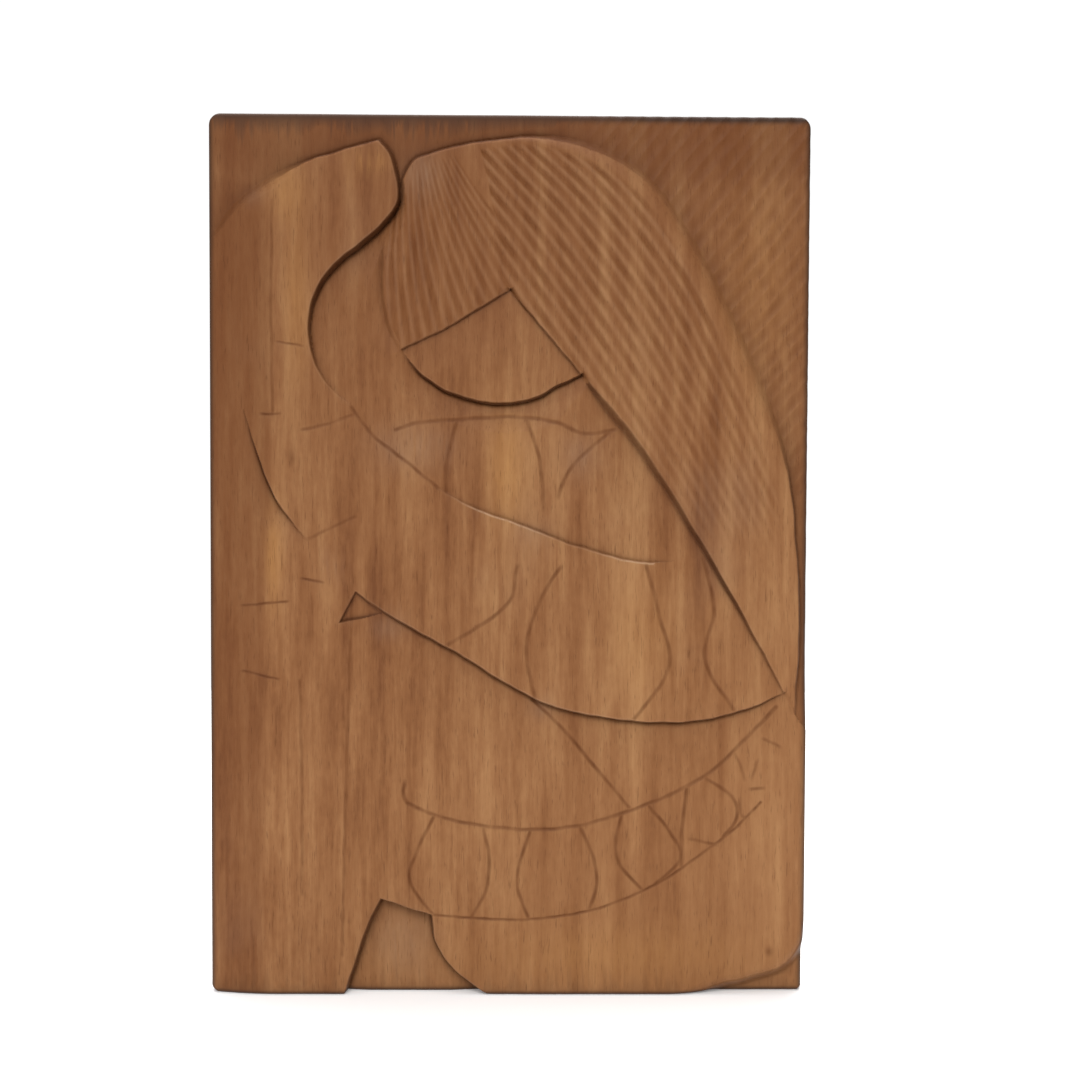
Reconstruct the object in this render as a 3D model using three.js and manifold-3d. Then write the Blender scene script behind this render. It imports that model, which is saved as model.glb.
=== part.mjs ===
// A carved wall panel: one thick board with a stylised figure cut into its front.
// Millimetres, +Z up. The flat back lies on Y = 0 with the origin at its centre, and the front faces -Y.

import * as THREE from 'three';
import { mergeVertices } from 'three/addons/utils/BufferGeometryUtils.js';
import loadSolids from 'manifold-3d';

const wasm = await loadSolids();
wasm.setup();

// The board
const WIDTH = 360;
const HEIGHT = 530;
const THICKNESS = 32;
const ARRIS = 2.4;
const CORNER = { topLeft: 7, topRight: 7, bottomLeft: 5, bottomRight: 3 };
const HALF_WIDTH = WIDTH / 2;
const HALF_HEIGHT = HEIGHT / 2;
const OVERHANG = 6; // how far a cut runs out past the board's edge

// Depths below the face
const GROUND_DEPTH = 5.5;
const GROUND_FOOT = -118; // where the ground's lower end meets the board's right-hand edge
const LEG_GAP_DEPTH = 9;
const CORNER_DEPTH = 9;
const CUFF_DEPTH = 2;
const LEFT_ROLL = { reach: 34, drop: 5.5, top: 218 };

// Incised lines: depth and half the width at the face
const OUTLINE_CUT = { depth: 1.6, half: 1.4 };
const ORNAMENT_CUT = { depth: 1.2, half: 1.1 };
const HAIR_CUT = { depth: 1.3, half: 2.0 };
const FRINGE_LOCKS = 16;
const LONG_LOCKS = 17;
const FRINGE_TOP = 225; // the fringe's locks start below this height
const TAIL_END = 12; // the long locks end above this height

// How finely the cuts are divided along their length, and the board round its corners and edges
const WALL_STEPS = 22;
const LINE_STEPS = 9;
const HAIR_STEPS = 12;
const CREASE_STEPS = 4;
const TRIM_STEPS = 96;
const LEAST_TRIM = 12; // a lock with fewer steps left in the hair is not cut
const CORNER_STEPS = 5;
const ARRIS_STEPS = 3;

const CLEARANCE = 2; // how far a cutter stands above the face
const SKIM = 0.1; // height above the face at which a cut runs out
const RUN_OUT = 8; // a higher power keeps an incised line deep for longer before it runs out
const HALVINGS = 24; // halvings in the search for a point of a curve
const SAME_PLACE = 1e-4; // corners nearer than this are one corner

const point = ([x, y]) => new THREE.Vector2(x, y);
const line = (...points) => new THREE.SplineCurve(points.map(point));

// The lines of the figure on the face, x to the right and y up from the board's centre.
const handTop = line([-HALF_WIDTH - 1, 178], [-161, 210], [-125, 233], [-99, 242], [-78, 248]);
const handSide = line([-78, 248], [-71, 238], [-67, 219], [-70, 207], [-84, 192], [-105, 175],
  [-117, 157], [-120, 139], [-118, 122], [-110, 105], [-95, 91]);
const armFold = line([-95, 91], [-82, 74], [-62, 58], [-41, 41]);
const armBack = line([-164, 107], [-159, 92], [-150, 62], [-142, 40], [-134, 27], [-121, 11]);
const hairBack = line([-46, 241], [-58, 235], [-66, 218], [-72, 196], [-75, 174], [-74, 152],
  [-70, 136], [-64, 124]);
const hairSide = line([-71, 200], [-75, 174], [-74, 152], [-70, 136], [-64, 124]);
const crown = line([-46, 241], [-19, 247], [17, 250], [53, 242], [83, 223], [107, 189], [127, 152],
  [147, 108], [166, 56], [173, -1], [174.5, -49], [172, -92]);
const parting = line([-18, 246], [-13, 224], [-9, 205], [-5, 184], [0, 161]);
const fringeEdge = line([-64, 125], [-33, 140.5], [0, 161]);
const hairFront = line([0, 161], [43, 111], [78, 70], [121, 2], [147, -44], [166, -80]);
// The locks run between these pairs of lines, which lie round the fringe and round the long hair
const fringeOuter = line([-66, 250], [-74, 205], [-78, 162], [-76, 116]);
const fringeInner = line([-40, 252], [-20, 222], [5, 190], [32, 156]);
const hairInner = line([-66, 249], [-41, 214], [-17, 180], [7, 145], [32, 110], [57, 75], [82, 38], [106, 0],
  [129, -37], [152, -74]);
const hairOuter = line([10, 288], [45, 263], [78, 238], [107, 206], [130, 171], [148, 132], [165, 94],
  [181, 56], [197, 18], [213, -20]);
const chin = line([-64, 125], [-54, 111.5], [-36, 99.7], [-12, 93.7], [12, 95.7], [31, 105], [43, 111]);
const neckline = line([-69, 76], [-54, 81], [-30, 83], [0, 85], [27, 82], [45, 75], [65, 78]);
const yokeEdge = line([-41, 41], [-23, 31], [7, 20], [40, 8], [73, -1], [100, -2], [122, 3]);
const sleeveEdge = line([-91, -21], [-65, -38], [-29, -58], [13, -83], [44, -93], [80, -98], [116, -97],
  [144, -90], [166, -80]);
const skirtFold = line([13, -84], [32, -102], [56, -130], [74, -151]);
const hemTop = line([-62, -147], [-41, -156], [-10, -162], [32, -163], [74, -152], [117, -132], [144, -108],
  [163, -88]);
const hemEnd = line([-62, -134], [-63, -141], [-62, -147]);
const hemBottom = line([-46, -216], [-16, -218], [20, -218], [57, -211], [93, -195], [128, -170], [143, -157],
  [153, -146]);
const cuffUpper = line([-125, 76], [-109, 80], [-91, 86]);
const cuffLower = line([-121, 11], [-107, 18], [-91, 25]);
const legBack = line([-77, -206], [-87.5, -230], [-101, -HALF_HEIGHT - OVERHANG]);
const legFront = line([-46, -216], [-43, -233], [-31, -250], [-4, -HALF_HEIGHT - OVERHANG]);
const seatCorner = line([HALF_WIDTH + OVERHANG, -212], [177, -234], [169, -245], [159, -250], [146, -254],
  [126, -259], [94, -HALF_HEIGHT - OVERHANG]);
const CUFF_NOTCH = [[-92, -20], [-102, -39], [-74, -34]];

// The sunk ground reaches down these parts of the hand's side and the hair's back, to where the two meet.
const HAND_TIP_PART = 0.2;
const NAPE_PART = 0.28;

// Walls of the relief: depths along the line, runs of the floor from the wall's foot back to the face, and
// the low side (1 is to the left and -1 to the right of the line's direction).
const WALLS = [
  {
    curve: handSide, depths: [5, 6, 7, 7.5, 7, 6, 4, 2, 0.2], runs: [6, 4, 5, 14, 30, 36, 38, 32, 20], low: 1,
  },
  { curve: hairSide, depths: [3.4, 3.2, 2.8, 2, 0.3], runs: [4, 12, 14, 12], low: -1 },
  { curve: fringeEdge, depths: [1.8, 2.2, 2.4], runs: [20, 30], low: -1 },
  {
    curve: hairFront, depths: [1.6, 1.8, 2.2, 5.5, 5.5, 5, 4.2, 3.2, 2.4, 1.8, 1.2], runs: [26, 36, 36, 26],
    low: -1,
  },
  { curve: chin, depths: [0.4, 4, 5, 5, 5, 5.2], runs: [14, 22], low: -1 },
  { curve: sleeveEdge, depths: [0.3, 3.8, 4.8, 5, 5, 4.5, 3.5, 2], runs: [24, 42, 42, 30], low: -1 },
  { curve: yokeEdge, depths: [0.3, 1.6, 2.2, 2.2, 1.6, 0.4], runs: [20, 34], low: 1 },
  { curve: armBack, depths: [0.2, 2, 4.2, 4.6, 0.6], runs: [18, 22, 14], low: -1 },
];

// Ornament in the bands of the dress: each line crosses its band from the upper to the lower edge, bowed
// sideways at a third and at two thirds of the way, and cut between two parts of its length.
const ORNAMENT_BANDS = [
  {
    upper: neckline, lower: yokeEdge, strokes: [
      { top: -31, bottom: -37, bow: [-2, -3], part: [0, 1] },
      { top: 10, bottom: 21, bow: [4, 3], part: [0, 0.8] },
      { top: 62, bottom: 27, bow: [-12, -10], part: [0, 0.65] },
    ],
  },
  {
    upper: yokeEdge, lower: sleeveEdge, strokes: [
      { top: 10, bottom: -38, bow: [11, 20], part: [0.3, 1] },
      { top: 40, bottom: 16, bow: [-12, -13], part: [0.15, 1] },
      { top: 82, bottom: 75, bow: [11, 19], part: [0, 1] },
      { top: 117, bottom: 137, bow: [0, -12], part: [0, 1] },
    ],
  },
  {
    upper: hemTop, lower: hemBottom, strokes: [
      { top: -44, bottom: -45, bow: [-10, -14], part: [0, 1] },
      { top: -15, bottom: -22, bow: [6, 7], part: [0, 1] },
      { top: 14, bottom: 13, bow: [-6, -7], part: [0, 1] },
      { top: 43, bottom: 49, bow: [6, 7], part: [0, 1] },
      { top: 69, bottom: 82, bow: [-8, -10], part: [0, 1] },
      { top: 84, bottom: 88, bow: [12, 18], part: [0, 1] },
      { top: 108, bottom: 105, bow: [-1, -1], part: [0, 1] },
      { top: 118, bottom: 129, bow: [14, 13], part: [0, 1] },
    ],
  },
];

// Short creases across the arm and the sleeve
const CREASES = [
  [[-140, 129], [-122, 126]],
  [[-150, 86], [-136, 86]],
  [[-161, -29], [-131, -26]],
  [[-161, -68], [-137, -73]],
  [[-125, -12], [-110, -15]],
];

// Value at t in 0..1 along a list of evenly spaced values
function along(values, t) {
  const place = t * (values.length - 1);
  const index = Math.min(Math.floor(place), values.length - 2);
  return THREE.MathUtils.lerp(values[index], values[index + 1], place - index);
}

// Unit normal to the left of a curve's direction
function leftNormal(curve, t) {
  const direction = curve.getTangent(t);
  return new THREE.Vector2(-direction.y, direction.x);
}

function samples(curve, steps) {
  return Array.from({ length: steps + 1 }, (_, i) => curve.getPoint(i / steps));
}

// Point of a left-to-right curve at a given x
function pointAtX(curve, x) {
  let low = 0;
  let high = 1;
  for (let i = 0; i < HALVINGS; i += 1) {
    const middle = (low + high) / 2;
    if (curve.getPoint(middle).x < x) low = middle;
    else high = middle;
  }
  return curve.getPoint(low);
}

function solidFrom(geometry) {
  const bare = geometry.clone();
  bare.deleteAttribute('normal');
  bare.deleteAttribute('uv');
  const merged = mergeVertices(bare, SAME_PLACE);
  const vertProperties = new Float32Array(merged.attributes.position.array);
  const triVerts = new Uint32Array(merged.index.array);
  return new wasm.Manifold(new wasm.Mesh({ numProp: 3, vertProperties, triVerts }));
}

// Closed solid through a row of three-cornered sections, capped at both ends
function sweep(sections) {
  const positions = sections.flat().flatMap((corner) => corner.toArray());
  const indices = [0, 2, 1];
  for (let i = 0; i + 1 < sections.length; i += 1) {
    for (let j = 0; j < 3; j += 1) {
      const a = 3 * i + j;
      const b = 3 * i + ((j + 1) % 3);
      indices.push(a, b, b + 3, a, b + 3, a + 3);
    }
  }
  const last = 3 * (sections.length - 1);
  indices.push(last, last + 1, last + 2);
  const geometry = new THREE.BufferGeometry();
  geometry.setAttribute('position', new THREE.Float32BufferAttribute(positions, 3));
  geometry.setIndex(indices);
  return solidFrom(geometry);
}

const onFace = (place, height) => new THREE.Vector3(place.x, place.y, THICKNESS + height);

// An upright wall on the line, and a floor that climbs from its foot back to the face on the low side
function wall({ curve, depths, runs, low }) {
  const sections = Array.from({ length: WALL_STEPS + 1 }, (_, i) => {
    const t = i / WALL_STEPS;
    const place = curve.getPoint(t);
    const far = place.clone().addScaledVector(leftNormal(curve, t), low * along(runs, t));
    const corners = [onFace(place, CLEARANCE), onFace(place, -along(depths, t)), onFace(far, SKIM)];
    return low > 0 ? corners : corners.reverse();
  });
  return sweep(sections);
}

// A V-shaped line that runs out at both ends
function incised(curve, { depth, half }, steps) {
  const spread = half * (1 + CLEARANCE / depth);
  const sections = Array.from({ length: steps + 1 }, (_, i) => {
    const t = i / steps;
    const place = curve.getPoint(t);
    const normal = leftNormal(curve, t);
    const left = place.clone().addScaledVector(normal, spread);
    const right = place.clone().addScaledVector(normal, -spread);
    const sunk = depth * (1 - (2 * t - 1) ** RUN_OUT);
    return [onFace(right, CLEARANCE), onFace(place, SKIM - sunk), onFace(left, CLEARANCE)];
  });
  return sweep(sections);
}

// A flat-floored sinking inside an outline
function sinking(outline, depth) {
  const geometry = new THREE.ExtrudeGeometry(new THREE.Shape(outline), {
    depth: depth + CLEARANCE, bevelEnabled: false,
  });
  geometry.translate(0, 0, THICKNESS - depth);
  return solidFrom(geometry);
}

// Whether a place lies inside an outline: to its right, its level crosses the outline an odd number of times
function isInside({ x, y }, outline) {
  const crossings = outline.filter((a, i) => {
    const b = outline[(i + 1) % outline.length];
    return (a.y > y) !== (b.y > y) && x < a.x + ((y - a.y) * (b.x - a.x)) / (b.y - a.y);
  });
  return crossings.length % 2 === 1;
}

// Combed locks: each keeps its share of the way from one rail to the other, and is cut inside the outline
function combed(railA, railB, count, outline) {
  const locks = Array.from({ length: count }, (_, k) => {
    const share = (k + 0.5) / count;
    const places = Array.from({ length: TRIM_STEPS + 1 }, (_, i) => (
      railA.getPoint(i / TRIM_STEPS).lerp(railB.getPoint(i / TRIM_STEPS), share)
    ));
    return places.filter((place) => isInside(place, outline));
  });
  return locks.filter(({ length }) => length > LEAST_TRIM).map((places) => new THREE.SplineCurve(places));
}

// Locks of the fringe, and of the long hair down to where its tail is plain
function hairLocks() {
  const parted = samples(parting, LINE_STEPS);
  const front = [...samples(fringeEdge, LINE_STEPS), ...[...parted].reverse()];
  const fringe = [...samples(hairBack, WALL_STEPS), ...front].filter(({ y }) => y < FRINGE_TOP);
  const long = [...parted, ...samples(hairFront, WALL_STEPS), ...samples(crown, 2 * WALL_STEPS).reverse()]
    .filter(({ y }) => y > TAIL_END);
  return [
    ...combed(fringeOuter, fringeInner, FRINGE_LOCKS, fringe),
    ...combed(hairInner, hairOuter, LONG_LOCKS, long),
  ];
}

function ornamentStroke({ upper, lower }, { top, bottom, bow, part }) {
  const start = pointAtX(upper, top);
  const end = pointAtX(lower, bottom);
  const bowed = bow.map((offset, i) => {
    const place = start.clone().lerp(end, (i + 1) / 3);
    place.x += offset;
    return place;
  });
  const whole = new THREE.SplineCurve([start, ...bowed, end]);
  const cut = Array.from({ length: LINE_STEPS + 1 }, (_, i) => (
    whole.getPoint(THREE.MathUtils.lerp(part[0], part[1], i / LINE_STEPS))
  ));
  return new THREE.SplineCurve(cut);
}

function board() {
  const { topLeft, topRight, bottomLeft, bottomRight } = CORNER;
  const outline = new THREE.Shape();
  outline.absarc(HALF_WIDTH - topRight, HALF_HEIGHT - topRight, topRight, 0, Math.PI / 2);
  outline.absarc(-HALF_WIDTH + topLeft, HALF_HEIGHT - topLeft, topLeft, Math.PI / 2, Math.PI);
  outline.absarc(-HALF_WIDTH + bottomLeft, -HALF_HEIGHT + bottomLeft, bottomLeft, Math.PI, 1.5 * Math.PI);
  outline.absarc(HALF_WIDTH - bottomRight, -HALF_HEIGHT + bottomRight, bottomRight, 1.5 * Math.PI, 0);
  const geometry = new THREE.ExtrudeGeometry(outline, {
    depth: THICKNESS - 2 * ARRIS,
    curveSegments: CORNER_STEPS,
    bevelThickness: ARRIS,
    bevelSize: ARRIS,
    bevelOffset: -ARRIS,
    bevelSegments: ARRIS_STEPS,
  });
  geometry.translate(0, 0, ARRIS);
  return solidFrom(geometry);
}

// Sunk ground above the hand, round the hair and down the right-hand side
function ground() {
  const outer = HALF_WIDTH + OVERHANG;
  const above = HALF_HEIGHT + OVERHANG;
  const tip = samples(handSide, WALL_STEPS).slice(1, Math.round(HAND_TIP_PART * WALL_STEPS) + 1);
  const nape = samples(hairBack, WALL_STEPS).slice(1, Math.round(NAPE_PART * WALL_STEPS));
  const outline = [
    new THREE.Vector2(-outer, handTop.getPoint(0).y),
    ...samples(handTop, WALL_STEPS),
    ...tip,
    ...nape.reverse(),
    ...samples(crown, 2 * WALL_STEPS),
    new THREE.Vector2(outer, GROUND_FOOT),
    new THREE.Vector2(outer, above),
    new THREE.Vector2(-outer, above),
  ];
  return sinking(outline, GROUND_DEPTH);
}

// Gap under the skirt, between the upright sleeve on the left and the seat on the right
function legGap() {
  const outline = [...samples(legBack, LINE_STEPS).reverse(), ...samples(legFront, LINE_STEPS)];
  return sinking(outline, LEG_GAP_DEPTH);
}

function sunkCorner() {
  const outer = new THREE.Vector2(HALF_WIDTH + OVERHANG, -HALF_HEIGHT - OVERHANG);
  return sinking([...samples(seatCorner, LINE_STEPS), outer], CORNER_DEPTH);
}

// Small three-cornered notch at the end of the sleeve's edge
function cuffNotch() {
  return sinking(CUFF_NOTCH.map(point), CUFF_DEPTH);
}

// Slope that takes the left side down towards the board's edge
function leftRoll() {
  const { reach, drop, top } = LEFT_ROLL;
  const shoulder = reach - HALF_WIDTH;
  const outer = -HALF_WIDTH - OVERHANG;
  const sections = [-HALF_HEIGHT - OVERHANG, top].map((y) => [
    new THREE.Vector3(shoulder, y, THICKNESS + SKIM),
    new THREE.Vector3(outer, y, THICKNESS - drop * (1 + OVERHANG / reach)),
    new THREE.Vector3(outer, y, THICKNESS + CLEARANCE),
  ]);
  return sweep(sections);
}

function carvedPanel() {
  const outlines = [armFold, neckline, skirtFold, hemTop, hemEnd, hemBottom, cuffUpper, cuffLower];
  const strokes = ORNAMENT_BANDS.flatMap((band) => (
    band.strokes.map((stroke) => ornamentStroke(band, stroke))
  ));
  const creases = CREASES.map((ends) => line(...ends));
  const cutters = [
    ground(),
    legGap(),
    sunkCorner(),
    cuffNotch(),
    leftRoll(),
    ...WALLS.map(wall),
    ...outlines.map((curve) => incised(curve, OUTLINE_CUT, WALL_STEPS)),
    ...strokes.map((curve) => incised(curve, ORNAMENT_CUT, LINE_STEPS)),
    ...creases.map((curve) => incised(curve, ORNAMENT_CUT, CREASE_STEPS)),
    ...hairLocks().map((curve) => incised(curve, HAIR_CUT, HAIR_STEPS)),
  ];
  const carved = cutters.reduce((body, cutter) => body.subtract(cutter), board()).getMesh();
  const geometry = new THREE.BufferGeometry();
  geometry.setAttribute('position', new THREE.BufferAttribute(carved.vertProperties, 3));
  geometry.setIndex(new THREE.BufferAttribute(carved.triVerts, 1));
  geometry.computeVertexNormals();
  return geometry;
}

const wood = new THREE.MeshStandardMaterial({ color: 0x91633f, roughness: 0.55, metalness: 0 });
const panel = new THREE.Mesh(carvedPanel(), wood);
panel.name = 'carved_panel';
panel.rotation.x = Math.PI / 2;

const part = new THREE.Group();
part.add(panel);

export default part;
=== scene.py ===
"""A carved wall panel: one thick board of brown hardwood with a figure cut into its front in low relief.

The drawing is in millimetres on the board's face, x to the right and y up from the centre, as the board's
solid has it. The finished mesh is in metres: x, then minus the height above the back, then y.
"""

import math

import bpy
import numpy as np
from mathutils import Matrix, Vector


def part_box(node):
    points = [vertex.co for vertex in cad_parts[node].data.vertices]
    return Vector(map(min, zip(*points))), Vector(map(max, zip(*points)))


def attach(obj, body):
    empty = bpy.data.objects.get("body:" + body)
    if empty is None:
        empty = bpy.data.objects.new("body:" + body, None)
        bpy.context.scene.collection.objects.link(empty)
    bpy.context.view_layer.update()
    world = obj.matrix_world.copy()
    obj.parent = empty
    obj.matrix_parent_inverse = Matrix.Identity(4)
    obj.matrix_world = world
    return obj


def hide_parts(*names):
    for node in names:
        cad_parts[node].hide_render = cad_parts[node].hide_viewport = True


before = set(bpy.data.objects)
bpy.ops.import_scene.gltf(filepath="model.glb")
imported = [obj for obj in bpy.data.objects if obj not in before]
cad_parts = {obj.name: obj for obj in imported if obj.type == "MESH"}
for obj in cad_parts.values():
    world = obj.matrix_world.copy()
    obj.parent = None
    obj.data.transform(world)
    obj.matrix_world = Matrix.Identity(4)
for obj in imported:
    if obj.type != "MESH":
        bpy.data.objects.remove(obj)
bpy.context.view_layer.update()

MM = 0.001

# The board, from its solid
BOARD = "carved_panel"
low_corner, high_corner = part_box(BOARD)
HALF_WIDTH = (high_corner.x - low_corner.x) / 2 / MM
HALF_HEIGHT = (high_corner.z - low_corner.z) / 2 / MM
THICKNESS = (high_corner.y - low_corner.y) / MM
CORNERS = {(-1, 1): 7.0, (1, 1): 7.0, (-1, -1): 5.0, (1, -1): 3.0}
FRONT_ARRIS = 3.0
BACK_ARRIS = 2.4

# How finely the board and its lines are worked out
GRID_STEP = 0.5
ARRIS_STEPS = 7
BACK_STEPS = 4
CURVE_STEPS = 120
CROWN_STEPS = 240
LINE_STEPS = 60
SEAT_STEPS = 90
SIDE_STEPS = 20
TIP_STEPS = 30
STROKE_STEPS = 14
SEARCH_STEPS = 400

# How many triangles stay, how high a mark stands while they are chosen, and how far it keeps off the edges
TRIANGLES_KEPT = 196000
MARK_GUIDE = 0.3
GUIDE_MARGIN = 8
GUIDE_RUN = 4
FRONT_SHARE = 0.4
SHARP_ANGLE = 50

# The lines of the figure on the face
HAND_TOP = [(-181, 178), (-161, 210), (-125, 233), (-99, 242), (-78, 248)]
HAND_SIDE = [(-78, 248), (-71, 238), (-67, 219), (-70, 207), (-84, 192), (-105, 175), (-117, 157),
             (-120, 139), (-118, 122), (-110, 105), (-95, 91)]
ARM_FOLD = [(-95, 91), (-82, 74), (-62, 58), (-41, 41)]
ARM_BACK = [(-164, 107), (-159, 92), (-150, 62), (-142, 40), (-134, 27), (-121, 11)]
HAIR_BACK = [(-46, 241), (-58, 235), (-66, 218), (-72, 196), (-75, 174), (-74, 152), (-70, 136), (-64, 124)]
HAIR_SIDE = HAIR_BACK[3:]
CROWN = [(-46, 241), (-19, 247), (17, 250), (53, 242), (83, 223), (107, 189), (127, 152), (147, 108),
         (166, 56), (173, -1), (174.5, -49), (172, -92)]
PARTING = [(-18, 246), (-13, 224), (-9, 205), (-5, 184), (0, 161)]
FRINGE_EDGE = [(-64, 125), (-33, 140.5), (0, 161)]
HAIR_FRONT = [(0, 161), (43, 111), (78, 70), (121, 2), (147, -44), (166, -80)]
FRINGE_OUTER = [(-66, 250), (-74, 205), (-78, 162), (-76, 116)]
FRINGE_INNER = [(-40, 252), (-20, 222), (5, 190), (32, 156)]
HAIR_INNER = [(-66, 249), (-41, 214), (-17, 180), (7, 145), (32, 110), (57, 75), (82, 38), (106, 0),
              (129, -37), (152, -74)]
HAIR_OUTER = [(10, 288), (45, 263), (78, 238), (107, 206), (130, 171), (148, 132), (165, 94), (181, 56),
              (197, 18), (213, -20)]
TAIL_TIP = [(166, -80), (172, -92)]
CHIN = [(-64, 125), (-54, 111.5), (-36, 99.7), (-12, 93.7), (12, 95.7), (31, 105), (43, 111)]
NECKLINE = [(-69, 76), (-54, 81), (-30, 83), (0, 85), (27, 82), (45, 75), (65, 78)]
YOKE_EDGE = [(-41, 41), (-23, 31), (7, 20), (40, 8), (73, -1), (100, -2), (122, 3)]
SLEEVE_EDGE = [(-91, -21), (-65, -38), (-29, -58), (13, -83), (44, -93), (80, -98), (116, -97), (144, -90),
               (166, -80)]
SKIRT_FOLD = [(13, -84), (32, -102), (56, -130), (74, -151)]
HEM_TOP = [(-62, -147), (-41, -156), (-10, -162), (32, -163), (74, -152), (117, -132), (144, -108),
           (163, -88)]
HEM_END = [(-62, -134), (-63, -141), (-61, -147), (-55, -150)]
HEM_BOTTOM = [(-46, -216), (-16, -218), (20, -218), (57, -211), (93, -195), (128, -170), (143, -157),
              (153, -146)]
CUFF_UPPER = [(-125, 76), (-109, 80), (-91, 86)]
CUFF_LOWER = [(-121, 11), (-107, 18), (-91, 25)]
LEG_BACK = [(-77, -206), (-87.5, -230), (-101, -271)]
LEG_FRONT = [(-46, -216), (-43, -233), (-31, -250), (-4, -271)]
SEAT_CORNER = [(186, -212), (177, -234), (169, -245), (159, -250), (146, -254), (126, -259), (94, -271)]
CUFF_NOTCH = [(-92, -20), (-102, -39), (-74, -34), (-92, -20)]
HAND_TIP_PART = 0.2
NAPE_PART = 0.28

# Walls of the relief: line, depths along it, runs of the floor back to the face, the low side (1 is to the
# left and -1 to the right of the line's direction), how far the wall leans, how dark its foot is with
# painted shade and stain, and how pale its arris is with wear and a painted highlight
WALLS = [
    (HAND_SIDE, [5, 6, 7, 7.5, 7, 6, 4, 2, 0.2], [6, 4, 5, 14, 30, 36, 38, 32, 20], 1,
     [3, 2, 1.5, 1.5, 1.5, 1.3, 1, 0.6], [0.3, 0.5, 1, 1, 1, 0.85, 0.6, 0.35], [0.1, 0.2, 0.1]),
    (HAIR_SIDE, [3.4, 3.2, 2.8, 2, 0.3], [4, 12, 14, 12], -1, [2.4], [0.25], [0.0]),
    (FRINGE_EDGE, [1.8, 2.2, 2.4], [20, 30], -1, [0.6], [1.2], [0.1]),
    (HAIR_FRONT, [1.6, 1.8, 2.2, 5.5, 5.5, 5, 4.2, 3.2, 2.4, 1.8, 1.2], [26, 36, 36, 26], -1,
     [0.8, 0.8, 1, 4.2, 3.6, 2.8, 2.2, 1.6, 1.2, 0.8, 0.6],
     [1.3, 1.2, 0.9, 0.62, 0.6, 0.65, 0.8, 1, 1, 1, 1], [0.1]),
    (TAIL_TIP, [1.2, 0.6], [8, 5], -1, [0.8], [1.0], [0.1]),
    (CHIN, [0.4, 4, 5, 5, 5, 5.2], [14, 22], -1, [1.2], [1.0], [0.1]),
    (SLEEVE_EDGE, [0.3, 3.8, 4.8, 5, 5, 4.5, 3.5, 2], [24, 42, 42, 30], -1, [1.1],
     [0.9, 0.75, 0.7, 0.85, 0.8, 0.8], [0.2, 0.2, 0.4, 0.1, 0.1]),
    (YOKE_EDGE, [0.3, 1.6, 2.2, 2.2, 1.6, 0.4], [20, 34], 1, [0.7], [0.6],
     [0, 0.4, 1.5, 1.3, 0.2, 0.3, 1.5, 1.5, 0.4, 0]),
    (ARM_BACK, [0.2, 2, 4.2, 4.6, 0.6], [18, 22, 14], -1, [1.0], [0.6, 0.8, 1, 0.9, 0.5, 0.3], [0.1]),
]

# A wall has a rolled arris and a knife's stop cut at its foot, and fades out past its line's ends
ARRIS_SHARE = 0.14
ARRIS_LEAST = 0.01
ARRIS_MOST = 0.5
ARRIS_SPREAD = 2.2
STOP_DEPTH = 0.55
STOP_HALF = 0.9
WALL_END = 2.5
LEAST_RUN = 0.5

# Painted shade, with the oil and dust that gather there, darkens the foot of a wall; wear and a painted
# highlight pale its arris
FULL_SHADE_AND_STAIN_AT = 3.4
SHADE_AND_STAIN_REACH = 1.1
SHADE_AND_STAIN_LIP = 0.4
WEAR_AND_HIGHLIGHT_BACK = 0.4
WEAR_AND_HIGHLIGHT_HALF = 0.8
HIDDEN_BY = 0.6

# Sinkings: depth, lean of the wall, arris, painted shade with stain at the foot, and wear with a painted
# highlight at the arris
GROUND = (5.5, 2.0, 0.7, 0.7, 0.0)
SOFT_LEAN_MORE = 2.0
SOFT_ARRIS_MORE = 2.6
SOFT_REACH_MORE = 6.0
SOFT_SHADE_AND_STAIN_LESS = 0.65
GROUND_FOOT = -118
GROUND_RISE = 60
GROUND_REACH = 60
SINKING_REACH = 40
NOTCH_REACH = 12
PAST_SIDE = 190
PAST_END = 280
LEG_GAP = (9.0, 1.6, 0.6, 0.75, 0.1)
LEG_GAP_CLIMB = (1.4, 14.0)
SEAT = (9.0, 6.0, 2.2, 0.45, 0.0)
NOTCH = (2.0, 1.0, 0.3, 1.3, 0.1)

# The ground's edge is soft round the crown and over the hand's left end: from where to where it grows soft
CROWN_SOFT_X = (-10, 60)
CROWN_SOFT_Y = (30, 100)
HAND_SOFT_X = (-115, -150)

# The gouge's facets on the ground: depth, width, slant, how the slant turns lower down, and how it wavers
FACET_DEPTH = 1.0
FACET_WIDTH = 7.5
FACET_SLANT = (0.75, 0.62)
FACET_TURN = (0.4, 160, 200)
FACET_WAVER = ((0.9, 17), (0.7, 13))
FACET_PATCHES = [(23, 41), (13, 29)]
FACET_START = (20, 80)
FACET_GAP = (2, 5)

# The left side rolls away to the edge, sharply beside the arm and softly lower down
ROLL_DROP = 5.5
ROLL_AT = (-141, -151)
ROLL_SOFT = (2.5, 14.5)
ROLL_CHANGE = (60, -100)
ROLL_TOP = (190, 230)
ROLL_MOST = 1.2

# Incised lines: depth, half the width at the face, and darkness, painted shade with stain in the groove
FOLD_LINE = (0.9, 1.6, 0.68)
SOFT_LINE = (0.7, 1.8, 0.62)
FAINT_LINE = (0.6, 1.5, 0.5)
HEM_LINE = (1.0, 1.7, 0.62)
THIN_LINE = (0.9, 1.3, 0.7)
CREASE_LINE = (0.8, 1.2, 0.7)
GRAIN_LINE = (0.12, 1.5, 0.5)

# A line runs out at its ends and past them, is pressed unevenly, has hollow sides and a dark middle of
# painted shade and stain
LINE_RUN_OUT = 5.0
LINE_END_LEFT = 0.25
LINE_PAST = 1.5
LINE_PRESS = 0.25
PRESS_WAVES = (5.3, 3.1)
LINE_HOLLOW = 1.15
LINE_DARK_SPREAD = 1.3

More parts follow.
